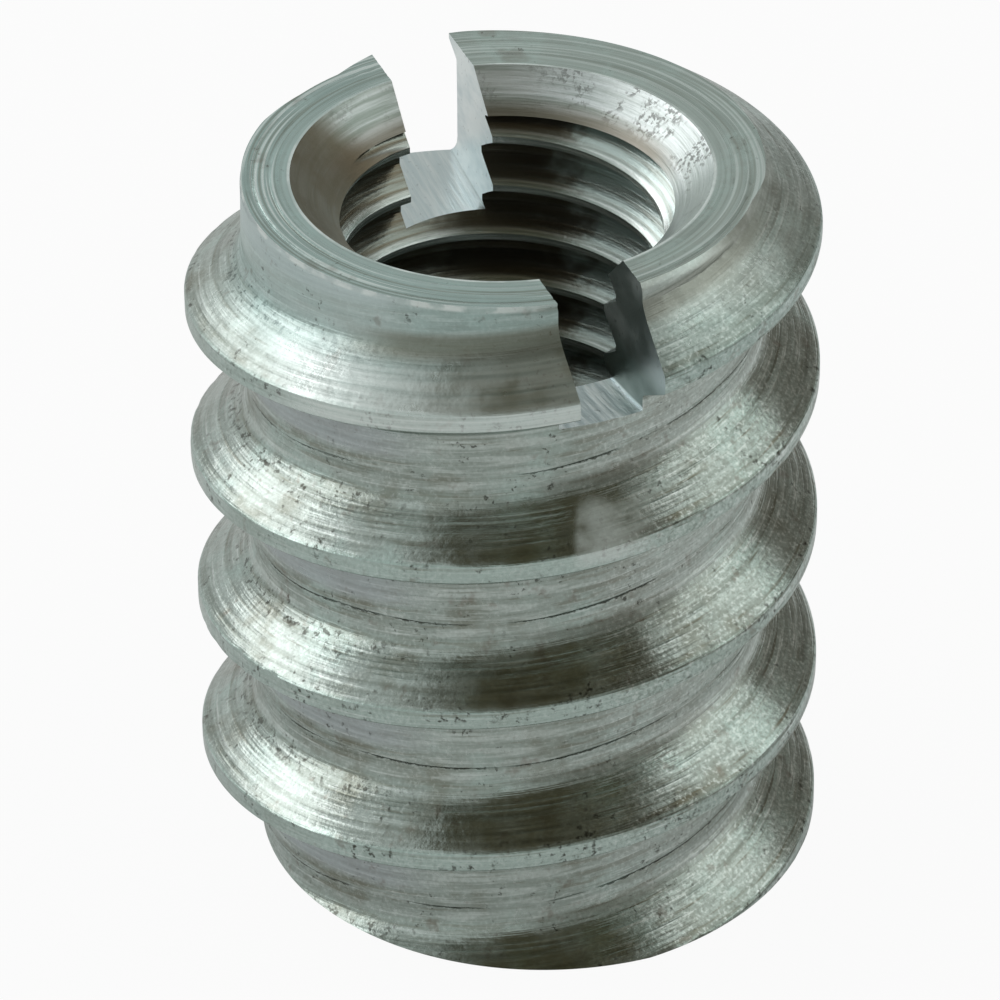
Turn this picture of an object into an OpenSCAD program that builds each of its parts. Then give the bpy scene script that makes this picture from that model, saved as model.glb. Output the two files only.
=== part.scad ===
// Screw-in threaded insert for wood, in millimetres.
// It stands on its lower end, with its axis on the Z axis and the driver slot running along Y.

/* [Body] */
// overall length of the insert
body_h = 20; // [16:0.5:30]
// diameter of the core between the turns of the outer thread
core_d = 13.6; // [13:0.1:14.4]

/* [Outer thread] */
// diameter over the crests of the coarse wood thread
thread_d = 16.7; // [15.8:0.1:18]
// axial rise of the outer thread in one turn
thread_pitch = 4.55; // [4.2:0.05:6]
// axial width of the flat land on the crest
crest_land = 0.5; // [0.4:0.05:0.6]
// axial reach of the flank above the crest
upper_flank = 1.15; // [0.8:0.05:1.3]
// axial reach of the flank below the crest
lower_flank = 0.95; // [0.8:0.05:1.2]
// easing where each flank meets the core
foot_ease = 0.4; // [0.2:0.05:0.6]
// angle about the axis at which the crest leaves the lower end
thread_start = 302; // [0:1:359]
// angle over which the crest sinks into the core at the slotted end
run_out = 165; // [60:5:200]

/* [Bore] */
// diameter of the bore, which is the crest diameter of the fine inner thread
bore_d = 8.4; // [7.6:0.1:9]
// diameter of the countersunk mouth at the slotted end
mouth_d = 11; // [10:0.1:11.6]
// diameter of the small countersink at the lower end
foot_mouth_d = 10.4; // [9.8:0.1:11]

/* [Slotted end] */
// width of the driver slot
slot_w = 2.3; // [1.5:0.1:3.5]
// how far the middle of the slot sits beside the axis
slot_shift = 0.1; // [0:0.05:0.3]
// depth of the driver slot on the axis
slot_depth = 4.3; // [3:0.1:6]
// diameter of the round saw that leaves the hollow slot floor
saw_d = 80; // [50:1:125]

/* [Hidden] */
// facets around a full circle of the exact round shapes
round_facets = 96;
// steps along one turn of the outer thread
turn_steps = 48;
// how far the thread is carried past its crest before it is turned down to size
crest_stock = 0.15;
// overlap of the cutting shapes past the surfaces they cut
over = 1;

core_r = core_d / 2;
thread_r = thread_d / 2;
bore_r = bore_d / 2;
mouth_r = mouth_d / 2;
foot_mouth_r = foot_mouth_d / 2;
saw_r = saw_d / 2;
thread_h = thread_r - core_r;

// height above the slotted end at which the sinking crest would reach the core
run_out_rise = 0.7;
// share of the thread that is kept past that point, outside the insert
run_out_least = 0.1;

// axial reach of each flank for one unit of radius
upper_slope = upper_flank / thread_h;
lower_slope = lower_flank / thread_h;
// length of each flank along its face
upper_face = norm([thread_h, upper_flank]);
lower_face = norm([thread_h, lower_flank]);

// corners of the thread section, upwards, as radius and height from the crest middle
thread_section = [
    [core_r, -crest_land / 2 - lower_flank - foot_ease],
    [core_r + foot_ease * thread_h / lower_face,
        -crest_land / 2 - lower_flank * (1 - foot_ease / lower_face)],
    [thread_r + crest_stock, -crest_land / 2 + lower_slope * crest_stock],
    [thread_r + crest_stock, crest_land / 2 - upper_slope * crest_stock],
    [core_r + foot_ease * thread_h / upper_face,
        crest_land / 2 + upper_flank * (1 - foot_ease / upper_face)],
    [core_r, crest_land / 2 + upper_flank + foot_ease]
];
corners = len(thread_section);

// the threaded bar runs past both ends of the insert and is trimmed there
start_turn = -1;
turns = ceil(body_h / thread_pitch) + 2;
steps = turns * turn_steps;

// share of the full thread left at an angle of the helix, less than one in the run-out
function thread_share(turned) =
    max(run_out_least,
        min(1, (360 * (body_h + run_out_rise) / thread_pitch - turned) / run_out));

// one corner of the section carried to a step of the helix
function thread_point(step, corner) =
    let (turned = 360 * (start_turn + step / turn_steps),
         rise = thread_pitch * turned / 360,
         share = thread_share(turned),
         radius = core_r + share * (thread_section[corner][0] - core_r),
         angle = thread_start + turned)
    [radius * cos(angle), radius * sin(angle), share * thread_section[corner][1] + rise];

// one facet between two neighbouring rows of points, seen clockwise from outside
function facet(low, low_next, high, high_next) = [low, high, high_next, low_next];

// solid bar with the coarse right-hand thread, longer than the insert at both ends
module threaded_bar() {
    last = corners - 1;
    rows = [for (step = [0:steps]) for (corner = [0:last]) thread_point(step, corner)];
    foot_centre = len(rows);
    head_centre = foot_centre + 1;
    centres = [
        [0, 0, thread_point(0, 0)[2]],
        [0, 0, thread_point(steps, last)[2]]
    ];
    ridge = [for (step = [0:steps - 1]) for (corner = [0:last - 1])
        let (a = step * corners + corner)
        facet(a, a + corners, a + 1, a + corners + 1)];
    core = [for (step = [0:steps - turn_steps - 1])
        let (a = step * corners + last, b = (step + turn_steps) * corners)
        facet(a, a + corners, b, b + corners)];
    foot = [for (step = [0:turn_steps - 1])
        [foot_centre, step * corners, (step + 1) * corners]];
    head = [for (step = [steps - turn_steps:steps - 1])
        [head_centre, (step + 1) * corners + last, step * corners + last]];
    foot_step = concat(
        [foot_centre, turn_steps * corners],
        [for (corner = [0:last]) last - corner]
    );
    head_step = concat(
        [head_centre, (steps - turn_steps) * corners + last],
        [for (corner = [0:last]) steps * corners + corner]
    );
    polyhedron(
        points = concat(rows, centres),
        faces = concat(ridge, core, foot, head, [foot_step, head_step]),
        convexity = 12
    );
}

// turned outline over the crests, square at both ends
module turned_outline() {
    cylinder(r = thread_r, h = body_h, $fn = round_facets);
}

// bore with a countersink at each end
module bore_space() {
    mouth_depth = mouth_r - bore_r;
    foot_mouth_depth = foot_mouth_r - bore_r;
    translate([0, 0, -over])
        cylinder(r = bore_r, h = body_h + 2 * over, $fn = round_facets);
    translate([0, 0, body_h - mouth_depth])
        cylinder(r1 = bore_r, r2 = mouth_r + over, h = mouth_depth + over, $fn = round_facets);
    translate([0, 0, -over])
        cylinder(r1 = foot_mouth_r + over, r2 = bore_r, h = foot_mouth_depth + over, $fn = round_facets);
}

// driver slot left by a round saw fed straight down into the end
module slot_space() {
    translate([slot_shift + slot_w / 2, 0, body_h - slot_depth + saw_r])
        rotate([0, -90, 0])
            cylinder(r = saw_r, h = slot_w, $fn = round_facets);
}

// the whole insert, turned and cut from one bar
module threaded_insert() {
    color([0.58, 0.61, 0.59])
        difference() {
            intersection() {
                threaded_bar();
                turned_outline();
            }
            bore_space();
            slot_space();
        }
}

threaded_insert();
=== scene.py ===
"""Looks of the screw-in threaded insert: one turned piece, its metal, a pale floor and studio light."""

import math
from types import SimpleNamespace

import bmesh
import bpy
import numpy as np
from mathutils import Matrix, Vector


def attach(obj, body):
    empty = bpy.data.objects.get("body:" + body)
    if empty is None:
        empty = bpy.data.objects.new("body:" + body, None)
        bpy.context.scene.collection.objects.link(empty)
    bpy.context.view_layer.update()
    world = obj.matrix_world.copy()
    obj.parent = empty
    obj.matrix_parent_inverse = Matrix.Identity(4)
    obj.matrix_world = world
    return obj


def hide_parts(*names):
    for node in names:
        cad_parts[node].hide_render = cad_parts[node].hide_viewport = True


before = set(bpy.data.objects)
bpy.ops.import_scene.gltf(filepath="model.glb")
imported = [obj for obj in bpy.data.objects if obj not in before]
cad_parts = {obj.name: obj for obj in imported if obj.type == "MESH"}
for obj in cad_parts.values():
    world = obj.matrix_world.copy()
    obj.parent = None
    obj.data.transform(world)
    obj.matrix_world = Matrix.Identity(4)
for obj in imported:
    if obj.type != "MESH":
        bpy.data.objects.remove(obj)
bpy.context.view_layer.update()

# sizes in millimetres, as in the part's source
BODY_H = 20.0
CORE_R = 6.8
CREST_R = 8.35
PITCH = 4.55
LAND = 0.5
UPPER, LOWER = 1.15, 0.95
START = 302.0
RUN_OUT, RUN_RISE = 165.0, 0.7
BORE_R = 4.2
MOUTH_R, FOOT_MOUTH_R = 5.5, 5.2
SLOT_LEFT, SLOT_RIGHT = -1.05, 1.25
SLOT_DEPTH, SAW_R = 4.3, 40.0
MM = 0.001

# the fine inner thread, which only this scene shows
FINE_PITCH = 1.5
FINE_DEPTH = 0.8
FINE_PHASE = 0.15
FINE_LAND = 0.09
FINE_ROOT = 0.655
# depth below the end at which the first groove comes out of the countersink, and how fast it does
LIP_DROP, LIP_SLOPE = 1.0, 3.0

# easing of the thread's corners, as a share of its height
UPPER_EASE, LOWER_EASE, CREST_EASE = 0.30, 0.10, 0.05
# the easing stops over this height, so that the end stays crisp
CRISP_FROM, CRISP_RISE = 19.4, 0.35
# least share of the thread that is left where it has run out
RUN_OUT_LEAST = 0.02
RIM_BEVEL, RIM_SLOPE = 0.15, 0.95
FOOT_BEVEL = 0.10

# how far the skin stays inside the solids, and how far it wanders from its true form
CREST_INSET, BORE_INSET, SKIN_INSET = 0.02, 0.012, 0.005
CREST_WANDER, CORE_WANDER, BORE_WANDER = 0.015, 0.01, 0.01
# radians of wander for each turn of the fine thread
BORE_WANDER_RATE = 10.7
# depth of a usual nick, and the share of the thread's height from which nicks bite
NICK_DEPTH, NICK_FROM = 0.009, 0.8

# columns of the mesh around the axis, and the turns of each thread that its rows follow
COLUMNS = 360
OUTER_TURNS, FINE_TURNS = range(-1, 6), range(-1, 14)
# distance from a crest within which the rows close up as the thread runs out
ROW_REACH = 1.75
WELD = 0.002 * MM
SHARP_ANGLE = 32

# zones of the metal, in the order of the materials
OUTER, END, BORE, SLOT = range(4)


def wave(seed, count, low, high):
    """A smooth wandering function of one variable, from a few seeded sines."""
    g = np.random.default_rng(seed)
    freq = g.uniform(low, high, count)
    phase = g.uniform(0, 2 * math.pi, count)
    amp = g.uniform(0.4, 1.0, count)
    amp /= np.sqrt((amp ** 2).sum() / 2)

    def value(t):
        t = np.asarray(t, float)[..., None]
        return (amp * np.sin(freq * t + phase)).sum(-1)

    return value


crest_wander = wave(seed=11, count=7, low=0.6, high=4.0)
crest_nicks = wave(seed=12, count=9, low=25.0, high=70.0)
nick_places = wave(seed=13, count=5, low=0.7, high=3.0)
root_wander = wave(seed=14, count=6, low=0.8, high=5.0)


def eased(x, ease):
    """max(x, 0) with its corner rounded over x from -ease to ease."""
    middle = (x + ease) ** 2 / (4 * ease)
    return np.where(x < -ease, 0.0, np.where(x > ease, x, middle))


def run_out_share(crest_z):
    """Share of the full thread left where its crest is at a height."""
    left = 360 * (BODY_H + RUN_RISE - crest_z) / PITCH
    return np.clip(left / RUN_OUT, RUN_OUT_LEAST, 1)


def thread_face(z, s, share):
    """Height of the ridge at s from its crest, as a share: 0 at the core and 1 on the land."""
    above = 1 - (s - LAND / 2 * share) / (UPPER * share)
    below = 1 - (-s - LAND / 2 * share) / (LOWER * share)
    face = np.minimum(above, below)
    rounded = eased(face, np.where(above < below, UPPER_EASE, LOWER_EASE))
    crisp = np.clip((z - CRISP_FROM) / CRISP_RISE, 0, 1)
    face = rounded + (np.maximum(face, -1) - rounded) * crisp
    return 1 - eased(1 - face, CREST_EASE)


def outer_radius(theta, z):
    """Radius of the outside at an angle in degrees and at heights, thread included."""
    turn = (theta - START) / 360
    k = np.round(z / PITCH - turn)
    crest_z = PITCH * (k + turn)
    share = run_out_share(crest_z)
    face = thread_face(z, z - crest_z, share)
    u = 2 * math.pi * crest_z / PITCH
    nicks = np.clip(crest_nicks(u), 0, 3) * np.clip(nick_places(u), 0, 2) * NICK_DEPTH
    height = CREST_R - CORE_R - CREST_INSET + CREST_WANDER * crest_wander(u)
    core = CORE_R + CORE_WANDER * root_wander(u)
    ridge = core + height * share * face - nicks * np.clip((face - NICK_FROM) / (1 - NICK_FROM), 0, 1)
    bevel = CORE_R - RIM_BEVEL + (BODY_H - z) * RIM_SLOPE
    r = np.maximum(ridge, np.minimum(core, bevel))
    foot = CREST_R - FOOT_BEVEL + z
    return np.minimum(np.minimum(r, foot), CREST_R - SKIN_INSET)


# distances from a crest, and heights on the insert, at which the outside has a row of points
OUTER_STEPS = np.array([
    -2.1, -1.8, -1.5, -1.3, -1.22, -1.12, -1.0, -0.84, -0.68, -0.52, -0.38, -0.29, -0.23, -0.12,
    0.0, 0.12, 0.23, 0.29, 0.4, 0.55, 0.72, 0.9, 1.05, 1.2, 1.35, 1.5, 1.72, 2.0])
LEVEL_ROWS = [0.0, 0.05, 0.1, 19.55, 19.6, 19.65, 19.7, 19.8, 19.9, 20.0]


def outer_rows(theta):
    """Heights of the outer rows in one column: some follow the coarse thread and some are level."""
    turn = (theta - START) / 360
    reach = np.abs(OUTER_STEPS)
    half = PITCH / 2
    rows = []
    for k in OUTER_TURNS:
        middle = PITCH * (k + turn)
        share = float(run_out_share(middle))
        closed = ROW_REACH * share
        away = closed + (reach - ROW_REACH) * (half - closed) / (half - ROW_REACH)
        s = np.sign(OUTER_STEPS) * np.where(reach < ROW_REACH, reach * share, away)
        rows += list(middle + s)
    return np.sort(np.clip(rows + LEVEL_ROWS, 0, BODY_H))


def bore_radius(theta, z):
    """Radius of the bore at an angle in degrees and at heights, countersinks included."""
    turn = theta / 360
    k = np.round((z - FINE_PHASE) / FINE_PITCH - turn)
    s = np.abs(z - FINE_PHASE - FINE_PITCH * (k + turn))
    groove = np.clip((s - FINE_LAND) / (FINE_ROOT - FINE_LAND), 0, 1)
    wander = BORE_WANDER * crest_wander(z / FINE_PITCH * BORE_WANDER_RATE)
    r = BORE_R + BORE_INSET + FINE_DEPTH * groove + wander
    mouth = MOUTH_R - (BODY_H - z)
    lip = MOUTH_R - LIP_DROP + LIP_SLOPE * (BODY_H - LIP_DROP - z)
    foot_mouth = FOOT_MOUTH_R - z
    return np.maximum(np.maximum(np.minimum(r, lip), mouth), foot_mouth)


# distances from a fine crest, and heights on the insert, at which the bore has a row of points
FINE_STEPS = np.array([-FINE_ROOT, -0.5, -0.34, -FINE_LAND, FINE_LAND, 0.34, 0.5, FINE_ROOT])
MOUTH_ROWS = [0.0, 0.5, 1.0, 18.7, 18.76, 18.82, 18.88, 18.94, 19.0, 19.5, 20.0]


def bore_rows(theta):
    """Heights of the bore's rows in one column: some follow the fine thread and some are level."""
    turn = theta / 360
    rows = []
    for k in FINE_TURNS:
        rows += list(FINE_PHASE + FINE_PITCH * (k + turn) + FINE_STEPS)
    return np.sort(np.clip(rows + MOUTH_ROWS, 0, BODY_H))


# lathe rings in the slotted end: radius, half width and depth
END_RINGS = (
    (6.50, 0.035, 0.035),
    (6.28, 0.030, 0.025),
    (6.05, 0.040, 0.030),
    (5.82, 0.030, 0.020),
    (5.66, 0.020, 0.020),
)
# steps across the slotted end, and stops across the lower end as shares of its width
END_STEPS = 14
FOOT_STOPS = (0.25, 0.5, 0.75)


def end_depth(r):
    """Depth of the lathe rings at a radius of the slotted end."""
    depth = np.zeros_like(r)
    for at, wide, deep in END_RINGS:
        depth += deep * np.exp(-((r - at) / wide) ** 2)
    return depth


def section(theta):
    """The closed section at one angle: its points as radius and height, and the zone of each side."""
    z_out = outer_rows(theta)
    outside = list(zip(outer_radius(theta, z_out), z_out))
    edge = outside[-1][0]
    radii = edge + (MOUTH_R - edge) * np.linspace(0, 1, END_STEPS + 1)[1:-1]
    end = list(zip(radii, BODY_H - end_depth(radii)))
    z_in = bore_rows(theta)[::-1]
    inside = list(zip(bore_radius(theta, z_in), z_in))
    foot_out, foot_in = outside[0][0], inside[-1][0]
    foot = [(foot_in + (foot_out - foot_in) * stop, 0.0) for stop in FOOT_STOPS]
    zones = [OUTER] * (len(outside) - 1) + [END] * (len(end) + 1)
    zones += [BORE] * (len(inside) - 1) + [END] * (len(foot) + 1)
    return outside + end + inside + foot, zones


def mesh_object(name, verts, faces, zones=None, weld=0.0):
    """A mesh object from plain lists, with doubles welded and faces turned outwards."""
    mesh = bpy.data.meshes.new(name)
    mesh.from_pydata(verts, [], faces)
    if zones is not None:
        mesh.polygons.foreach_set("material_index", zones)
    bm = bmesh.new()
    bm.from_mesh(mesh)
    if weld:
        bmesh.ops.remove_doubles(bm, verts=bm.verts, dist=weld)
        bmesh.ops.dissolve_degenerate(bm, edges=bm.edges, dist=weld / 2)
        bmesh.ops.triangulate(bm, faces=bm.faces)
    bmesh.ops.recalc_face_normals(bm, faces=bm.faces)
    bm.to_mesh(mesh)
    bm.free()
    obj = bpy.data.objects.new(name, mesh)
    bpy.context.collection.objects.link(obj)
    return obj


def turned_body():
    """The threaded and bored bar, before its slot is cut."""
    verts = []
    for i in range(COLUMNS + 1):
        theta = 360.0 * i / COLUMNS
        c, s = math.cos(math.radians(theta)), math.sin(math.radians(theta))
        ring, zones = section(theta)
        verts += [(r * c * MM, r * s * MM, z * MM) for r, z in ring]
    per = len(ring)
    faces = []
    for i in range(COLUMNS):
        a, b = i * per, (i + 1) * per
        for j in range(per):
            n = (j + 1) % per
            faces.append((a + j, b + j, b + n, a + n))
    return mesh_object("threaded_insert_skin", verts, faces, zones * COLUMNS, weld=WELD)


# half length and top of the cutting shape, and the points along its hollow floor
CUTTER_REACH, CUTTER_TOP = 12.0, 24.0
FLOOR_POINTS = 49


def slot_floor(y):
    """Height of the hollow slot floor that the round saw leaves."""
    return BODY_H - SLOT_DEPTH + SAW_R - np.sqrt(SAW_R ** 2 - y * y)


def slot_cutter():
    """The space that the round saw leaves, as a prism across the end."""
    along = np.linspace(-CUTTER_REACH, CUTTER_REACH, FLOOR_POINTS)
    ring = [(y, float(slot_floor(y))) for y in along]
    ring += [(CUTTER_REACH, CUTTER_TOP), (-CUTTER_REACH, CUTTER_TOP)]
    n = len(ring)
    verts = [(x * MM, y * MM, z * MM) for x in (SLOT_LEFT, SLOT_RIGHT) for y, z in ring]
    faces = [tuple(range(n)), tuple(reversed(range(n, 2 * n)))]
    faces += [(i, n + i, n + (i + 1) % n, (i + 1) % n) for i in range(n)]
    return mesh_object("slot_cutter", verts, faces, [SLOT] * len(faces))


def cut_slot(body):
    """Cuts the driver slot out of the body."""
    cutter = slot_cutter()
    for metal in body.data.materials:
        cutter.data.materials.append(metal)
    cut = body.modifiers.new("slot", "BOOLEAN")
    cut.operation = "DIFFERENCE"
    cut.object = cutter
    cut.solver = "EXACT"
    bpy.context.view_layer.update()
    done = bpy.data.meshes.new_from_object(body.evaluated_get(bpy.context.evaluated_depsgraph_get()))
    body.modifiers.clear()
    body.data = done
    bpy.data.objects.remove(cutter)


# the way to the right in the photograph, on the insert's own X and Y
RIGHT_X, RIGHT_Y = 0.94, -0.35
# places of the colour sockets in a mix node
MIX_A, MIX_B, MIX_OUT = 6, 7, 2


class Nodes:
    """The node tree of a material or of the world, with short ways to add to it."""

    def __init__(self, owner, output):
        owner.use_nodes = True
        self.tree = owner.node_tree
        self.tree.nodes.clear()
        self.out = self.tree.nodes.new(output)

    def put(self, socket, value):
        """Gives a socket a value of its own or another node's output."""
        if isinstance(value, bpy.types.NodeSocket):
            self.tree.links.new(value, socket)
        else:
            socket.default_value = value

    def node(self, kind, settings=None, **inputs):
        """A new node with its settings, and its inputs by name, with _ for a space."""
        n = self.tree.nodes.new(kind)
        for key, value in (settings or {}).items():
            setattr(n, key, value)
        for key, value in inputs.items():
            self.put(n.inputs[key.replace("_", " ")], value)
        return n

    def calc(self, op, *values):
        """The result of a math node's operation."""
        n = self.node("ShaderNodeMath", {"operation": op})
        for socket, value in zip(n.inputs, values):
            self.put(socket, value)
        return n.outputs[0]

    def times(self, first, *others):
        """Product of two or more values."""
        product = first
        for other in others:
            product = self.calc("MULTIPLY", product, other)
        return product

    def add(self, total, amount, share):
        """A total with a share of an amount added."""
        return self.calc("MULTIPLY_ADD", amount, share, total)

    def ramp(self, value, low, high, to_low=0.0, to_high=1.0):
        """A smooth change from to_low to to_high while a value goes from low to high."""
        n = self.node(
            "ShaderNodeMapRange", {"interpolation_type": "SMOOTHSTEP"},
            Value=value, From_Min=low, From_Max=high, To_Min=to_low, To_Max=to_high)
        return n.outputs[0]

    def between(self, mask, low, high):
        """Low where a mask is 0 and high where it is 1."""
        return self.ramp(mask, 0.0, 1.0, low, high)

    def near(self, value, middle, full, gone):
        """1 where a value is within one reach of the middle, and 0 from a wider reach on."""
        off = self.calc("ABSOLUTE", self.calc("SUBTRACT", value, middle))
        return self.ramp(off, full, gone, 1.0, 0.0)

    def mix(self, factor, a, b):
        """A colour that is a at a factor of 0 and b at 1."""
        n = self.node("ShaderNodeMix", {"data_type": "RGBA"})
        self.put(n.inputs[0], factor)
        self.put(n.inputs[MIX_A], a)
        self.put(n.inputs[MIX_B], b)
        return n.outputs[MIX_OUT]

    def facing(self, vector, way, low, high):
        """A smooth change while a vector turns towards a way, with limits as cosines."""
        n = self.node("ShaderNodeVectorMath", {"operation": "DOT_PRODUCT"})
        self.put(n.inputs[0], vector)
        self.put(n.inputs[1], way)
        return self.ramp(n.outputs["Value"], low, high)

    def show(self, plain, white, shares):
        """Sends a shader to the output, with a share of white for each kind of ray."""
        path = self.node("ShaderNodeLightPath")
        total = 0.0
        for ray, share in shares:
            total = self.add(total, path.outputs[ray], share)
        both = self.node("ShaderNodeMixShader")
        self.put(both.inputs[0], total)
        self.put(both.inputs[1], plain.outputs[0])
        self.put(both.inputs[2], white.outputs[0])
        self.put(self.out.inputs["Surface"], both.outputs[0])


class Metal(Nodes):
    """A metal material, in millimetres on the insert."""

    def __init__(self, name):
        self.material = bpy.data.materials.new(name)
        super().__init__(self.material, "ShaderNodeOutputMaterial")
        self.shader = self.node("ShaderNodeBsdfPrincipled", Metallic=1.0)
        self.put(self.out.inputs["Surface"], self.shader.outputs[0])

    def complete(self, colour, roughness, normal):
        """Sets what every metal has, and gives the material back."""
        self.put(self.shader.inputs["Base Color"], colour)
        self.put(self.shader.inputs["Roughness"], roughness)
        self.put(self.shader.inputs["Normal"], normal)
        return self.material

    def place(self):
        """Object coordinates in millimetres."""
        where = self.node("ShaderNodeTexCoord").outputs["Object"]
        scaled = self.node("ShaderNodeVectorMath", {"operation": "SCALE"}, Vector=where, Scale=1 / MM)
        return scaled.outputs[0]

    def split(self, vector):
        """The X, Y and Z of a vector."""
        return self.node("ShaderNodeSeparateXYZ", Vector=vector).outputs[:3]

    def join(self, x, y, z):
        """The vector of an X, Y and Z."""
        return self.node("ShaderNodeCombineXYZ", X=x, Y=y, Z=z).outputs[0]

    def radius(self, x, y):
        """Distance from the axis."""
        return self.calc("SQRT", self.calc("ADD", self.times(x, x), self.times(y, y)))

    def across(self, x, y):
        """How far a place lies to the right of the axis in the photograph."""
        return self.add(self.times(y, RIGHT_Y), x, RIGHT_X)

    def away(self, x, y):
        """How far a place lies behind the axis in the photograph."""
        return self.add(self.times(y, RIGHT_X), x, -RIGHT_Y)

    def noise(self, vector, scale, detail, rough, w=None):
        """Soft noise around 0.5, in three dimensions or with a fourth."""
        n = self.node(
            "ShaderNodeTexNoise", {"noise_dimensions": "3D" if w is None else "4D"},
            Vector=vector, Scale=scale, Detail=detail, Roughness=rough)
        if w is not None:
            self.put(n.inputs["W"], w)
        return n.outputs[0]

    def bump(self, height, depth, normal=None):
        """Bumps of a depth in millimetres."""
        n = self.node("ShaderNodeBump", Height=height, Distance=depth * MM, Strength=1.0)
        if normal is not None:
            self.put(n.inputs["Normal"], normal)
        return n.outputs[0]

    def helix(self, pitch, start):
        """The thread's phase as an angle that goes once round with each turn."""
        x, y, z = self.split(self.place())
        risen = self.times(z, 2 * math.pi / pitch)
        phase = self.calc("SUBTRACT", risen, self.calc("ARCTAN2", y, x))
        return self.calc("ADD", phase, math.radians(start))

    def along_thread(self, phase, around, along, detail, rough):
        """Noise drawn out along the thread, with no seam where the angle starts again."""
        x, y, _ = self.split(self.place())
        c = self.times(self.calc("COSINE", phase), around)
        s = self.times(self.calc("SINE", phase), around)
        vector = self.join(c, s, self.times(x, along))
        return self.noise(vector, scale=1.0, detail=detail, rough=rough, w=self.times(y, along))


ZINC = (0.385, 0.445, 0.41, 1)
ZINC_LIGHT = (0.60, 0.66, 0.63, 1)
ZINC_DARK = (0.20, 0.215, 0.185, 1)
ZINC_BRIGHT = (0.84, 0.89, 0.87, 1)
GRIME = (0.045, 0.042, 0.032, 1)
RUST = (0.16, 0.10, 0.07, 1)
TEAL = (0.50, 0.62, 0.58, 1)
UMBER = (0.19, 0.18, 0.13, 1)
REFLECTED_LAVENDER = (0.46, 0.50, 0.53, 1)
COOL = (0.40, 0.60, 0.60, 1)

# where marks come and go up the outside, in millimetres
LAST_TURN = (15.9, 16.4)
COOL_RISE = (17.2, 18.2)
SHADE_BAND_RISE = (17.4, 18.0)
COLLAR_RISE = (18.2, 18.8)
SEAM_END = (18.2, 18.9)
SHOULDER_RISE = (18.7, 19.2)
RIM_RISE = (BODY_H - 0.20, BODY_H - 0.12)
SCUFF_FOOT, SCUFF_TOP = (12.9, 13.2), (14.6, 14.0)

# where marks lie above the middle of the nearest crest, in millimetres
LAND_EDGE = (0.24, 0.34)
CHIP_EDGE = (0.22, 0.60)
ROOT_EDGE = (1.10, 1.55)
CRACK_LINE, CRACK_EDGE = 1.2, (0.05, 0.30)
SHADE_BAND_LINE, SHADE_BAND_EDGE = 1.45, (0.15, 0.45)
FLANK_TOP = (1.2, 0.8)
SEAM_LINE, SEAM_WIDTHS = 2.03, (0.022, 0.060)
SEAM_DRIFT, SEAM_JITTER = 0.8, 0.16
UNDER_TOP, UNDER_FOOT = (-1.0, -1.35), (-2.25, -1.9)

# how far right of the axis marks come and go, in millimetres
WORN_LEFT = (-5.5, 0.5)
SIDES_RISE = (1.0, 4.0)
GOUGES_RISE = (0.5, 3.0)
FAR_LEFT = (-1.5, -4.0)
PAINTED_PALE_RIGHT = (1.5, 4.0)
COLLAR_LEFT = (-1.0, -4.0)
COOL_FADE = (4.5, 2.0)
SCUFF_LEFT, SCUFF_RIGHT = (1.62, 1.90), (4.4, 2.4)
FRONT_LEFT, FRONT_RIGHT = (-6.5, -4.5), (3.5, 1.5)
SHADE_BAND_LEFT = (-5.0, -2.5)
SHOULDER_RIGHT = (2.0, 3.5)
RIM_LEFT = (2.5, -1.0)

# how marks fade in along Y, towards the front, in millimetres
SCUFF_FRONT = (0.0, -2.0)
SHADE_BAND_FRONT = (-3.0, -5.0)
SHOULDER_FRONT = (-1.0, -3.0)

# depths of marks in millimetres: streaks on flanks and in roots, the others on the right and left
STREAK_DEPTHS = (0.030, 0.012)
PEEL_DEPTHS = (0.008, 0.018)
LINE_DEPTHS = (0.020, 0.011)
PIT_DEPTHS = (0.002, 0.008)
GRAIN_DEPTH, SEAM_DEPTH = 0.003, 0.03


def outer_places(g):
    """What the marks on the outside share: places in millimetres, masks from 0 to 1, and noises."""
    m = SimpleNamespace()
    m.at = g.place()
    x, m.y, m.z = g.split(m.at)
    m.across = g.across(x, m.y)
    m.phase = g.helix(PITCH, START)
    # s is the height above the middle of the nearest crest
    m.s = g.calc("WRAP", g.times(m.phase, PITCH / (2 * math.pi)), PITCH / 2, -PITCH / 2)
    m.off_crest = g.calc("ABSOLUTE", m.s)
    m.root = g.ramp(m.off_crest, *ROOT_EDGE)
    m.land = g.ramp(m.off_crest, *LAND_EDGE, 1.0, 0.0)
    # the left is more worn than the right, and both sides are more marked than the front
    m.left = g.ramp(m.across, *WORN_LEFT, 1.0, 0.0)
    m.sides = g.ramp(g.calc("ABSOLUTE", m.across), *SIDES_RISE, 0.35, 1.0)
    m.streak = g.along_thread(m.phase, around=5.0, along=0.2, detail=2.0, rough=0.6)
    m.fine = g.along_thread(m.phase, around=10.0, along=0.35, detail=3.0, rough=0.6)
    m.grain = g.noise(m.at, scale=9.0, detail=2.0, rough=0.6)
    m.pits = g.noise(m.at, scale=5.0, detail=5.0, rough=0.65)
    m.peel = g.noise(m.at, scale=1.6, detail=3.0, rough=0.5)
    m.blotch = g.noise(m.at, scale=0.8, detail=3.0, rough=0.6)
    m.scuff = scuffed_patch(g, m)
    m.seam = broken_seam(g, m)
    return m


def scuffed_patch(g, m):
    """A scuffed patch on the second turn, right of the middle."""
    patch = g.times(g.ramp(m.across, *SCUFF_LEFT), g.ramp(m.across, *SCUFF_RIGHT))
    patch = g.times(patch, g.ramp(m.blotch, 0.35, 0.60, 0.45, 1.0))
    patch = g.times(patch, g.ramp(m.z, *SCUFF_FOOT), g.ramp(m.z, *SCUFF_TOP))
    return g.times(patch, g.ramp(m.y, *SCUFF_FRONT))


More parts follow.
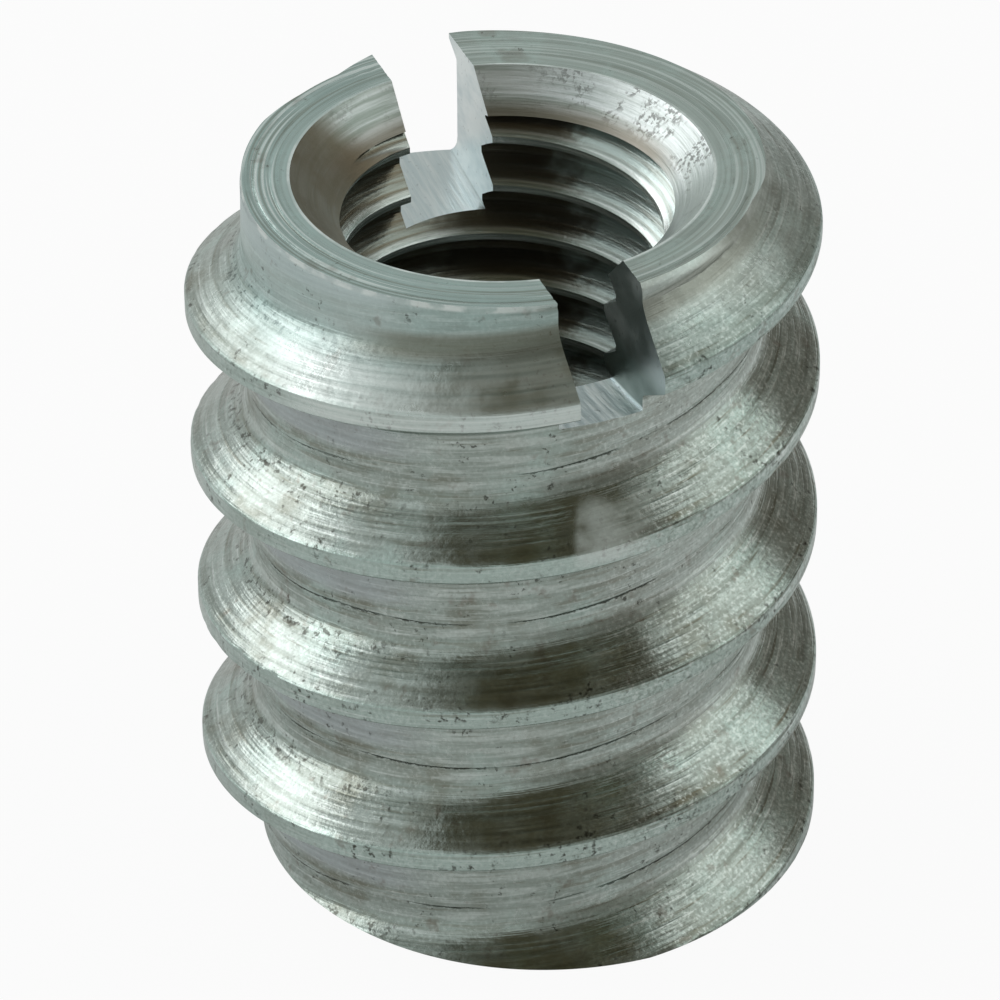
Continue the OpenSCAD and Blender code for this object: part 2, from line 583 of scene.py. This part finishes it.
def broken_seam(g, m):
    """A thin broken seam that wanders along the middle of the core."""
    drift = g.along_thread(m.phase, around=0.5, along=0.12, detail=2.0, rough=0.55)
    line = g.add(m.s, g.calc("SUBTRACT", drift, 0.5), SEAM_DRIFT)
    line = g.add(line, g.calc("SUBTRACT", m.pits, 0.5), SEAM_JITTER)
    seam = g.near(line, SEAM_LINE, 0.0, g.ramp(m.pits, 0.42, 0.60, *SEAM_WIDTHS))
    whole = g.ramp(g.noise(m.at, scale=0.3, detail=2.0, rough=0.6), 0.42, 0.55)
    return g.times(seam, whole, g.ramp(m.z, *SEAM_END, 1.0, 0.0))


def plated(g, m):
    """Streaky zinc on the flanks, evener and patchy in the roots, with clouds over all of it."""
    cloud = g.noise(m.at, scale=0.45, detail=3.0, rough=0.62)
    patchy = g.along_thread(m.phase, around=3.0, along=0.4, detail=3.0, rough=0.65)
    colour = g.mix(g.ramp(m.streak, 0.32, 0.68), ZINC_DARK, ZINC_LIGHT)
    colour = g.mix(g.between(m.root, 0.5, 0.78), colour, ZINC)
    colour = g.mix(g.ramp(cloud, 0.50, 0.66, 0.0, 0.55), colour, TEAL)
    colour = g.mix(g.ramp(cloud, 0.46, 0.32, 0.0, 0.45), colour, UMBER)
    colour = g.mix(g.times(m.land, 0.6), colour, TEAL)
    colour = g.mix(g.times(m.root, g.ramp(patchy, 0.53, 0.62, 0.0, 0.55)), colour, ZINC_LIGHT)
    return g.mix(g.times(m.root, g.ramp(patchy, 0.47, 0.38, 0.0, 0.45)), colour, UMBER)


def scratched(g, m, colour):
    """Fine lines along the thread, coarser gouges on the right, and grain at the sides."""
    marked = g.times(m.sides, g.ramp(m.blotch, 0.40, 0.60, 0.25, 0.8), g.between(m.left, 1.2, 0.6))
    colour = g.mix(g.times(marked, g.ramp(m.fine, 0.55, 0.68)), colour, ZINC_BRIGHT)
    colour = g.mix(g.times(marked, g.ramp(m.fine, 0.44, 0.32)), colour, UMBER)
    gouge = g.times(g.ramp(m.streak, 0.42, 0.34), g.ramp(m.across, *GOUGES_RISE, 0.0, 0.6))
    colour = g.mix(g.times(gouge, g.between(m.root, 1.0, 0.3)), colour, ZINC_DARK)
    grainy = g.times(m.sides, g.between(m.left, 0.42, 0.18))
    colour = g.mix(g.times(grainy, g.ramp(m.grain, 0.52, 0.64)), colour, ZINC_DARK)
    return g.mix(g.times(grainy, g.ramp(m.grain, 0.46, 0.34)), colour, ZINC_BRIGHT)


def chipped(g, m, colour):
    """Dark chips along the crests."""
    chips = g.times(g.ramp(m.off_crest, *CHIP_EDGE, 1.0, 0.0), g.ramp(m.pits, 0.54, 0.62))
    return g.mix(g.times(chips, g.ramp(m.blotch, 0.46, 0.60), 0.6), colour, GRIME)


def core_tones(g, m, colour):
    """A core with a painted pale bluish reflection under a crest on the left, cracked over it, and roots
    made paler on the right by a painted reflection.
    """
    on_left = g.ramp(m.across, *FAR_LEFT)
    # painted reflection: the root just under each crest is made pale bluish on the left
    under = g.times(g.ramp(m.s, *UNDER_TOP), g.ramp(m.s, *UNDER_FOOT), on_left, 0.6)
    colour = g.mix(under, colour, REFLECTED_LAVENDER)
    # painted reflection: the roots are made paler towards the right
    colour = g.mix(g.times(m.root, g.ramp(m.across, *PAINTED_PALE_RIGHT, 0.0, 0.28)), colour, ZINC_BRIGHT)
    cracks = g.times(g.near(m.s, CRACK_LINE, *CRACK_EDGE), g.ramp(m.pits, 0.53, 0.60), on_left, 0.7)
    return g.mix(cracks, colour, GRIME)


def collar_tones(g, m, colour):
    """The core over the last turn, which is brighter on the left and cooler than the rest."""
    collar = g.times(g.ramp(m.z, *COLLAR_RISE), g.ramp(m.root, 0.2, 0.8))
    colour = g.mix(g.times(collar, g.ramp(m.across, *COLLAR_LEFT, 0.0, 0.45)), colour, ZINC_BRIGHT)
    cool = g.times(g.ramp(m.z, *COOL_RISE), g.ramp(m.across, *COOL_FADE, 0.12, 0.3))
    return g.mix(cool, colour, COOL)


def grimy(g, m, colour):
    """Dirt in the pits and the seam, and a few rusty stains."""
    specks = g.times(g.ramp(m.pits, 0.59, 0.66), g.ramp(m.blotch, 0.46, 0.62), 0.75)
    colour = g.mix(specks, colour, GRIME)
    colour = g.mix(g.times(m.seam, 0.8), colour, GRIME)
    stain = g.ramp(g.noise(m.at, scale=1.3, detail=3.0, rough=0.7), 0.60, 0.72, 0.0, 0.35)
    return g.mix(stain, colour, RUST)


def last_turn_painted_highlight(g, m, colour):
    """A painted highlight in streaks on the last turn's front flank."""
    # painted highlight: the last turn's front flank is made brighter in streaks
    flank = g.times(g.ramp(m.z, *LAST_TURN), g.ramp(m.root, 0.8, 0.2))
    front = g.times(g.ramp(m.across, *FRONT_RIGHT), g.ramp(m.across, *FRONT_LEFT, 0.0, 0.5))
    streaks = g.times(g.ramp(m.streak, 0.30, 0.62, 0.55, 1.3), g.ramp(m.s, *FLANK_TOP, 0.5, 1.1))
    return g.mix(g.times(flank, front, streaks), colour, ZINC_BRIGHT)


def scuffed(g, m, colour):
    """The bright scuffed patch."""
    return g.mix(g.times(m.scuff, 0.6), colour, ZINC_BRIGHT)


def end_tones(g, m, colour):
    """Painted shade as a brown band at the foot of the collar, a pale shoulder on the right, and a worn
    rim with a painted highlight that is stronger on the left.
    """
    # painted shade: a brown band along the fillet at the foot of the collar, at the front
    foot = g.times(g.near(m.s, SHADE_BAND_LINE, *SHADE_BAND_EDGE), g.ramp(m.z, *SHADE_BAND_RISE))
    foot = g.times(foot, g.ramp(m.across, *SHADE_BAND_LEFT), g.ramp(m.y, *SHADE_BAND_FRONT, 0.0, 0.7))
    colour = g.mix(foot, colour, UMBER)
    shoulder = g.times(g.ramp(m.z, *SHOULDER_RISE), g.calc("SUBTRACT", 1.0, m.land))
    shoulder = g.times(shoulder, g.ramp(m.y, *SHOULDER_FRONT))
    shoulder = g.times(shoulder, g.ramp(m.across, *SHOULDER_RIGHT, 0.0, 0.22))
    colour = g.mix(shoulder, colour, ZINC_BRIGHT)
    # worn rim with a painted highlight along it, stronger on the left
    rim = g.times(g.ramp(m.z, *RIM_RISE), g.ramp(m.across, *RIM_LEFT, 0.5, 1.5))
    return g.mix(g.times(rim, g.ramp(m.peel, 0.42, 0.60, 0.1, 0.55)), colour, ZINC_BRIGHT)


def outer_roughness(g, m):
    """Rougher in the roots, on the scuffed patch and on the last turn."""
    rough = g.ramp(m.blotch, 0.35, 0.65, 0.17, 0.27)
    rough = g.add(rough, m.root, 0.10)
    rough = g.add(rough, m.scuff, 0.25)
    return g.add(rough, g.ramp(m.z, *LAST_TURN), 0.10)


def outer_relief(g, m):
    """Heights of the marks in millimetres, less deep in the roots and at the front."""
    height = g.times(m.peel, g.between(m.left, *PEEL_DEPTHS))
    height = g.add(height, m.streak, g.times(g.between(m.root, *STREAK_DEPTHS), m.sides))
    height = g.add(height, m.fine, g.times(m.sides, g.between(m.left, *LINE_DEPTHS)))
    height = g.add(height, m.grain, GRAIN_DEPTH)
    height = g.add(height, m.pits, g.between(m.left, *PIT_DEPTHS))
    return g.add(height, m.seam, -SEAM_DEPTH)


def outer_metal():
    """Zinc on the outside, with marks that follow the coarse thread."""
    g = Metal("zinc_thread")
    m = outer_places(g)
    colour = plated(g, m)
    tones = (scratched, chipped, core_tones, collar_tones, grimy, last_turn_painted_highlight, scuffed, end_tones)
    for tone in tones:
        colour = tone(g, m, colour)
    return g.complete(colour, outer_roughness(g, m), g.bump(outer_relief(g, m), 1.0))


# in millimetres on the ends: the radius where deeper cuts begin, and the painted highlight along the
# edge of the mouth
CUTS_RISE = (5.75, 6.05)
MOUTH_HIGHLIGHT_LINE, MOUTH_HIGHLIGHT_WIDTH = MOUTH_R + 0.02, (0.03, 0.08)
# how marks come and go along X on the ends, in millimetres
CUTS_LEFT, COOL_LEFT = (-2.0, 2.0), (2.0, -3.0)
# depths of marks on the ends, in millimetres
RING_DEPTH, WAVE_DEPTH, END_PIT_DEPTH = 0.035, 0.03, 0.006
CUT_DEPTHS = (0.004, 0.013)


def end_places(g):
    """What the marks on the ends share: places in millimetres, masks from 0 to 1, and noises."""
    m = SimpleNamespace()
    m.at = g.place()
    m.x, y, _ = g.split(m.at)
    m.r = g.radius(m.x, y)
    far_x, far_y = g.times(m.x, 0.12), g.times(y, 0.12)
    ringed = g.join(g.times(m.r, 4.0), far_x, far_y)
    m.rings = g.noise(ringed, scale=1.0, detail=4.0, rough=0.6)
    finely_ringed = g.join(g.times(m.r, 11.0), far_y, far_x)
    m.cuts = g.noise(finely_ringed, scale=1.0, detail=1.0, rough=0.5)
    m.outer_third = g.times(g.ramp(m.r, *CUTS_RISE), g.ramp(m.x, *CUTS_LEFT, 1.0, 0.45))
    m.pits = g.noise(m.at, scale=5.0, detail=5.0, rough=0.65)
    m.blotch = g.noise(m.at, scale=0.6, detail=4.0, rough=0.6)
    return m


def end_colour(g, m):
    """Ringed zinc with bright and dark cuts, some dirt and rust, and a painted highlight round the
    mouth's edge.
    """
    colour = g.mix(g.ramp(m.rings, 0.34, 0.66), ZINC_DARK, ZINC_LIGHT)
    colour = g.mix(0.6, colour, ZINC)
    colour = g.mix(g.ramp(m.blotch, 0.48, 0.64, 0.0, 0.5), colour, TEAL)
    colour = g.mix(g.ramp(m.x, *COOL_LEFT, 0.05, 0.3), colour, COOL)
    bright_cut = g.times(g.ramp(m.cuts, 0.55, 0.64), g.between(m.outer_third, 0.10, 0.7))
    colour = g.mix(bright_cut, colour, ZINC_BRIGHT)
    dark_cut = g.times(g.ramp(m.cuts, 0.46, 0.38), g.between(m.outer_third, 0.10, 0.45))
    colour = g.mix(dark_cut, colour, UMBER)
    specks = g.times(g.ramp(m.pits, 0.60, 0.67), g.ramp(m.blotch, 0.50, 0.64), 0.7)
    colour = g.mix(specks, colour, GRIME)
    colour = g.mix(g.ramp(m.blotch, 0.56, 0.72, 0.0, 0.4), colour, RUST)
    # painted highlight along the mouth's edge
    edge = g.times(g.near(m.r, MOUTH_HIGHLIGHT_LINE, *MOUTH_HIGHLIGHT_WIDTH), g.ramp(m.blotch, 0.40, 0.60, 0.3, 0.9))
    return g.mix(edge, colour, ZINC_BRIGHT)


def end_metal():
    """Zinc on the turned ends, with lathe rings and a painted highlight round the mouth's edge."""
    g = Metal("zinc_end")
    m = end_places(g)
    waves = g.noise(m.at, scale=1.6, detail=2.0, rough=0.5)
    height = g.add(g.times(waves, WAVE_DEPTH), m.rings, RING_DEPTH)
    height = g.add(height, m.cuts, g.between(m.outer_third, *CUT_DEPTHS))
    height = g.add(height, m.pits, END_PIT_DEPTH)
    rough = g.ramp(m.rings, 0.3, 0.7, 0.22, 0.32)
    return g.complete(end_colour(g, m), rough, g.bump(height, 1.0))


# groove colours darker than the crests, as painted shade
SHADED_GROOVE_BROWN = (0.20, 0.175, 0.125, 1)
SHADED_GROOVE_GREY = (0.36, 0.39, 0.35, 1)
# a painted teal reflection in the grooves
GROOVE_PAINTED_REFLECTION = (0.66, 0.78, 0.76, 1)
# painted shade at the back of the grooves
BORE_PAINTED_SHADE = (0.10, 0.085, 0.06, 1)
FROST = (0.80, 0.85, 0.86, 1)
FROST_RIGHT = (0.80, 0.85, 0.84, 1)
FROST_DULL = (0.36, 0.41, 0.39, 1)
TARNISH = (0.25, 0.225, 0.165, 1)
RUN_BROWN = (0.20, 0.16, 0.11, 1)

# in millimetres: radii at which crests turn to grooves and brown runs fade, and where spots begin
GROOVE_RISE = (BORE_R + 0.03, BORE_R + 0.25)
RUNS_FADE = (5.0, 4.55)
SPOTS_RISE = (19.0, 19.4)
# how far a place may lie outside the countersink and still show it
CONE_EDGE = (0.015, 0.05)

# how far right of the axis marks in the bore come and go, in millimetres
PAINTED_REFLECTION_RIGHT = (1.2, 2.4)
BORE_SHADE_LEFT, BORE_SHADE_RIGHT = (-2.6, -1.0), (2.6, 0.8)
FROST_RISE = (2.2, 3.4)
SPOTS_RIGHT = (0.5, 3.2)
DULL_RIGHT = (2.5, 3.5)
TARNISH_LEFT = (-1.6, -3.4)
# and how far behind the axis
BORE_SHADE_BACK = (0.5, 2.0)
RUNS_BACK = (0.5, 2.5)
DULL_FRONT = (1.2, -0.6)
TARNISH_FRONT = (3.3, 2.3)
# how far these places wander, and the depths of marks
BORE_STRAY = 5.0
BORE_LINE_DEPTH, BORE_PIT_DEPTH, CONE_RING_DEPTH = 0.012, 0.008, 0.03


def bore_places(g):
    """What the marks in the bore share: places in millimetres, masks from 0 to 1, and noises."""
    m = SimpleNamespace()
    m.at = g.place()
    x, y, m.z = g.split(m.at)
    m.r = g.radius(x, y)
    m.across, m.away = g.across(x, y), g.away(x, y)
    phase = g.helix(FINE_PITCH, 0.0)
    m.fine = g.along_thread(phase, around=3.0, along=0.35, detail=3.0, rough=0.6)
    m.pits = g.noise(m.at, scale=5.0, detail=5.0, rough=0.65)
    m.cluster = g.noise(m.at, scale=0.8, detail=3.0, rough=0.6)
    ringed = g.join(g.times(m.z, 7.0), g.times(x, 0.2), g.times(y, 0.2))
    m.rings = g.noise(ringed, scale=1.0, detail=4.0, rough=0.62)
    above_cone = g.calc("SUBTRACT", g.calc("ADD", m.r, BODY_H - MOUTH_R), m.z)
    m.cone = g.ramp(above_cone, *CONE_EDGE, 1.0, 0.0)
    return m


def fine_thread_colour(g, m):
    """Bright crests, and grooves darkened with painted shade: brown on the left and darkest behind, with
    a painted teal reflection on the right.
    """
    crest = g.mix(g.ramp(m.fine, 0.35, 0.65), ZINC, ZINC_BRIGHT)
    # painted shade: the grooves get darker colours than the crests
    groove = g.mix(g.ramp(m.fine, 0.35, 0.68), SHADED_GROOVE_BROWN, SHADED_GROOVE_GREY)
    astray = g.add(m.across, g.calc("SUBTRACT", m.cluster, 0.5), BORE_STRAY)
    # painted reflection: a pale teal patch in the grooves on the right
    painted_reflection = g.times(g.ramp(astray, *PAINTED_REFLECTION_RIGHT), g.ramp(m.fine, 0.30, 0.60, 0.4, 0.8))
    groove = g.mix(painted_reflection, groove, GROOVE_PAINTED_REFLECTION)
    # painted shade: the grooves at the back of the bore are made darker
    painted_shade_behind = g.times(g.ramp(astray, *BORE_SHADE_LEFT), g.ramp(astray, *BORE_SHADE_RIGHT))
    groove = g.mix(g.times(painted_shade_behind, g.ramp(m.away, *BORE_SHADE_BACK, 0.0, 0.75)), groove, BORE_PAINTED_SHADE)
    return g.mix(g.ramp(m.r, *GROOVE_RISE), crest, groove)


def countersink_colour(g, m):
    """Frosted zinc: dull and speckled on the right, tarnished on the left, with brown runs behind."""
    frosted = g.mix(g.ramp(m.rings, 0.34, 0.66), ZINC, FROST)
    frosted = g.mix(g.ramp(m.across, *FROST_RISE, 0.0, 0.55), frosted, FROST_RIGHT)
    speckle = g.noise(m.at, scale=8.0, detail=3.0, rough=0.6)
    spots = g.times(g.ramp(speckle, 0.48, 0.57), g.ramp(m.cluster, 0.46, 0.56))
    spots = g.times(spots, g.ramp(m.z, *SPOTS_RISE), g.ramp(m.across, *SPOTS_RIGHT, 0.35, 1.0))
    frosted = g.mix(g.times(spots, 0.65), frosted, GRIME)
    tarnish = g.times(g.ramp(m.across, *TARNISH_LEFT), g.ramp(m.away, *TARNISH_FRONT))
    tarnish = g.times(tarnish, g.ramp(m.cluster, 0.35, 0.65, 0.85, 0.97))
    frosted = g.mix(tarnish, frosted, TARNISH)
    dull = g.times(g.ramp(m.across, *DULL_RIGHT), g.ramp(m.away, *DULL_FRONT, 0.0, 0.75))
    frosted = g.mix(dull, frosted, FROST_DULL)
    runs = g.times(g.ramp(m.r, *RUNS_FADE), g.ramp(m.away, *RUNS_BACK, 0.0, 0.75))
    return g.mix(runs, frosted, RUN_BROWN)


def bore_metal():
    """The fine inner thread and the frosted countersink at its mouth, both a little less than fully
    metallic, with painted shade in the grooves.
    """
    g = Metal("bore_thread")
    m = bore_places(g)
    colour = g.mix(m.cone, fine_thread_colour(g, m), countersink_colour(g, m))
    g.put(g.shader.inputs["Metallic"], g.between(m.cone, 0.85, 0.92))
    height = g.add(g.times(m.pits, BORE_PIT_DEPTH), m.fine, BORE_LINE_DEPTH)
    height = g.add(height, g.times(m.rings, m.cone), CONE_RING_DEPTH)
    return g.complete(colour, g.between(m.cone, 0.25, 0.42), g.bump(height, 1.0))


MILLED_GREY = (0.66, 0.75, 0.77, 1)
MILLED_LIGHT = (0.93, 0.98, 0.98, 1)
FLOOR_DULL = (0.44, 0.47, 0.47, 1)
NEAR_WALL_SHADE = (0.19, 0.25, 0.23, 1)

# heights in millimetres between which the slot's floor turns to wall, and its near wall's painted shade
# deepens
FLOOR_FADE = (BODY_H - SLOT_DEPTH + 0.05, BODY_H - SLOT_DEPTH + 0.15)
WALL_SHADE = (18.2, 17.1)
# how its marks come and go along X and Y, in millimetres
WALL_RIGHT, WALL_FRONT, FLOOR_BACK = (0.0, 0.5), (-1.0, -3.0), (0.0, 3.0)
SAW_DEPTH, SLOT_PIT_DEPTH = 0.02, 0.006


def slot_colour(g, place, lines, pits):
    """Milled grey, duller on the floor at the back, with painted shade on the right wall at the front
    that deepens down the wall.
    """
    x, y, z = place
    colour = g.mix(g.ramp(lines, 0.35, 0.68), MILLED_GREY, MILLED_LIGHT)
    colour = g.mix(g.ramp(pits, 0.62, 0.74, 0.0, 0.5), colour, GRIME)
    # the saw's hollow is close to a parabola
    over_hollow = g.add(z, g.times(y, y), -0.5 / SAW_R)
    on_floor = g.ramp(over_hollow, *FLOOR_FADE, 1.0, 0.0)
    colour = g.mix(g.times(on_floor, g.ramp(y, *FLOOR_BACK, 0.0, 0.4)), colour, FLOOR_DULL)
    # painted shade on the right wall at the front
    painted_wall_shade = g.times(g.ramp(x, *WALL_RIGHT), g.ramp(y, *WALL_FRONT))
    painted_wall_shade = g.times(painted_wall_shade, g.calc("SUBTRACT", 1.0, on_floor))
    return g.mix(g.times(painted_wall_shade, g.ramp(z, *WALL_SHADE, 0.35, 1.0)), colour, NEAR_WALL_SHADE)


def slot_metal():
    """Bright metal with saw marks that run along the slot."""
    g = Metal("slot_milled")
    at = g.place()
    x, y, z = g.split(at)
    drawn = g.join(g.times(x, 6.0), g.times(y, 0.5), z)
    lines = g.noise(drawn, scale=1.0, detail=3.0, rough=0.6)
    pits = g.noise(at, scale=5.0, detail=4.0, rough=0.6)
    rough = g.ramp(lines, 0.3, 0.7, 0.3, 0.45)
    normal = g.bump(pits, SLOT_PIT_DEPTH, g.bump(lines, SAW_DEPTH))
    return g.complete(slot_colour(g, (x, y, z), lines, pits), rough, normal)


def build_insert():
    """The whole insert with its four zones of metal."""
    body = turned_body()
    for metal in (outer_metal, end_metal, bore_metal, slot_metal):
        body.data.materials.append(metal())
    cut_slot(body)
    mesh = body.data
    mesh.polygons.foreach_set("use_smooth", np.ones(len(mesh.polygons), bool))
    mesh.set_sharp_from_angle(angle=math.radians(SHARP_ANGLE))
    mesh.update()
    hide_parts("threaded_insert")
    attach(body, "root")


WHITE = (1, 1, 1, 1)
PAPER = (0.8, 0.8, 0.8, 1)
FLOOR_REACH = 3.0
# share of plain white that each kind of ray sees; the rest is lit paper, or the room beyond it
FLOOR_WHITE = (("Is Camera Ray", 0.94), ("Is Glossy Ray", 0.25), ("Is Transmission Ray", 0.94))
ROOM_WHITE = (("Is Camera Ray", 1.0), ("Is Glossy Ray", 0.03), ("Is Transmission Ray", 1.0))


def add_floor():
    """A plain white floor that keeps a faint shadow."""
    square = ((-1, -1), (1, -1), (1, 1), (-1, 1))
    corners = [(x * FLOOR_REACH, y * FLOOR_REACH, 0) for x, y in square]
    obj = mesh_object("floor", corners, [(0, 1, 2, 3)])
    mat = bpy.data.materials.new("floor_white")
    g = Nodes(mat, "ShaderNodeOutputMaterial")
    paper = g.node("ShaderNodeBsdfDiffuse", Color=PAPER)
    white = g.node("ShaderNodeEmission", Color=WHITE, Strength=1.0)
    g.show(paper, white, FLOOR_WHITE)
    obj.data.materials.append(mat)


def direction(azimuth, elevation):
    """Unit vector towards an azimuth and elevation in degrees."""
    a, e = math.radians(azimuth), math.radians(elevation)
    return Vector((math.cos(e) * math.cos(a), math.cos(e) * math.sin(a), math.sin(e)))


# the photograph's view: angles in degrees, distance in metres, and the focal length in pixels
# of the picture, which is 1000 wide
VIEW_AZIMUTH, VIEW_ELEVATION, VIEW_ROLL = -110.5, 33.31, 0.748
VIEW_DISTANCE, FOCAL_PIXELS = 0.19062, 7139.6
PICTURE_WIDTH = 1000
TARGET = Vector((-0.0001450, 0.0000542, 0.0097695))

ROOM_LEFT = (0.567, 0.603, 0.588, 1)
ROOM_RIGHT = (0.175, 0.165, 0.139, 1)
CEILING_GAP = (0.046, 0.037, 0.008, 1)
# the way to the pale side in degrees, and the cosines between which the room gets paler
PALE_WAY, PALE_RISE = (150, 20), (-0.45, 0.25)
# elevation of the gap's middle, and the angles from it at which the gap starts and is full
GAP_ELEVATION, GAP_STARTS, GAP_FULL = 71, 28, 23


def add_world():
    """A soft room: paler on the left, with a dark gap in the ceiling over the camera."""
    world = bpy.data.worlds.new("studio")
    bpy.context.scene.world = world
    g = Nodes(world, "ShaderNodeOutputWorld")
    where = g.node("ShaderNodeTexCoord").outputs["Generated"]
    room = g.mix(g.facing(where, direction(*PALE_WAY), *PALE_RISE), ROOM_RIGHT, ROOM_LEFT)
    gap_edge = [math.cos(math.radians(angle)) for angle in (GAP_STARTS, GAP_FULL)]
    gap = g.facing(where, direction(VIEW_AZIMUTH, GAP_ELEVATION), *gap_edge)
    dim = g.node("ShaderNodeBackground", Color=g.mix(gap, room, CEILING_GAP), Strength=1.0)
    white = g.node("ShaderNodeBackground", Color=WHITE, Strength=1.0)
    g.show(dim, white, ROOM_WHITE)


CENTRE = Vector((0, 0, BODY_H / 2 * MM))


def softbox(name, azimuth, elevation, distance, width, height, radiance, colour):
    """An area light that faces the insert; a radiance of 1 looks as bright as white."""
    data = bpy.data.lights.new(name, "AREA")
    data.shape = "RECTANGLE"
    data.size, data.size_y = width, height
    data.energy = radiance * width * height * math.pi
    data.color = colour
    obj = bpy.data.objects.new(name, data)
    away = direction(azimuth, elevation)
    obj.location = CENTRE + away * distance
    obj.rotation_euler = away.to_track_quat("Z", "Y").to_euler()
    bpy.context.collection.objects.link(obj)


def add_lights():
    """A wide key light at the back left, and two fill lights on the right."""
    softbox(
        "key_left", azimuth=137, elevation=32, distance=0.30,
        width=0.38, height=0.12, radiance=1.6, colour=(1.0, 0.985, 0.99))
    softbox(
        "fill_right", azimuth=-18, elevation=46, distance=0.32,
        width=0.22, height=0.17, radiance=0.80, colour=(0.94, 1.0, 0.97))
    softbox(
        "low_right", azimuth=-22, elevation=17, distance=0.32,
        width=0.18, height=0.18, radiance=0.85, colour=(0.92, 1.0, 0.98))


def add_camera():
    """The camera at the photograph's viewing angle."""
    data = bpy.data.cameras.new("photo_view")
    data.sensor_fit = "HORIZONTAL"
    data.sensor_width = 36.0
    data.lens = FOCAL_PIXELS / PICTURE_WIDTH * data.sensor_width
    data.clip_start, data.clip_end = 0.01, 20.0
    obj = bpy.data.objects.new("photo_view", data)
    back = direction(VIEW_AZIMUTH, VIEW_ELEVATION)
    level = Vector((0, 0, 1)).cross(back).normalized()
    right = Matrix.Rotation(-math.radians(VIEW_ROLL), 3, back) @ level
    turn = Matrix((right, back.cross(right), back)).transposed().to_4x4()
    obj.matrix_world = Matrix.Translation(TARGET + back * VIEW_DISTANCE) @ turn
    bpy.context.collection.objects.link(obj)
    bpy.context.scene.camera = obj


build_insert()
add_floor()
add_world()
add_lights()
add_camera()
bpy.context.scene.view_settings.view_transform = "Standard"
